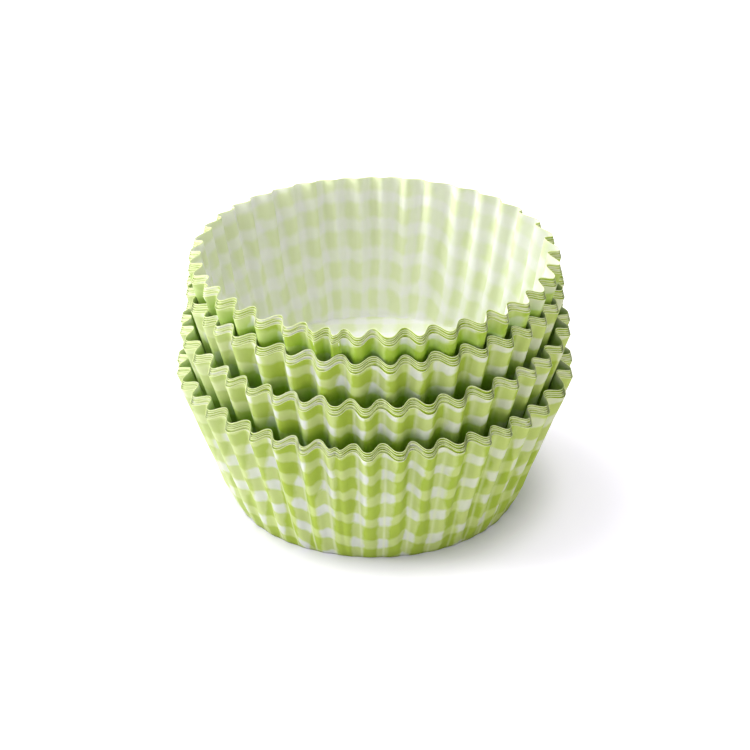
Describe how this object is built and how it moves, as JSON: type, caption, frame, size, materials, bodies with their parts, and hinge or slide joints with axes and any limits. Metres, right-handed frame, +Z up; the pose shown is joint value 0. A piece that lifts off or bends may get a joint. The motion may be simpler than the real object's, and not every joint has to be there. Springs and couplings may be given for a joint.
{
  "type": "stack of cupcake liners",
  "caption": "Stack of pleated paper baking cups nested in bundles, open at the top, printed with a green and white gingham check.",
  "frame": {"origin": "middle of the lowest liner's floor, on the surface that the stack stands on", "axes": "+Z is up through the middle of every liner, -Y is the side towards the viewer and +X is to the viewer's right"},
  "size_m": [0.0696, 0.0696, 0.0462],
  "materials": {
    "printed_paper": "thin greaseproof paper with a green and white gingham print on the outside and plain pale paper inside"
  },
  "bodies": {
    "root": {"liner_01": "printed_paper", "liner_02": "printed_paper", "liner_03": "printed_paper", "liner_04": "printed_paper", "liner_05": "printed_paper", "liner_06": "printed_paper", "liner_07": "printed_paper", "liner_08": "printed_paper", "liner_09": "printed_paper", "liner_10": "printed_paper", "liner_11": "printed_paper", "liner_12": "printed_paper", "liner_13": "printed_paper", "liner_14": "printed_paper", "liner_15": "printed_paper", "liner_16": "printed_paper", "liner_17": "printed_paper", "liner_18": "printed_paper", "liner_19": "printed_paper", "liner_20": "printed_paper"}
  },
  "joints": []
}
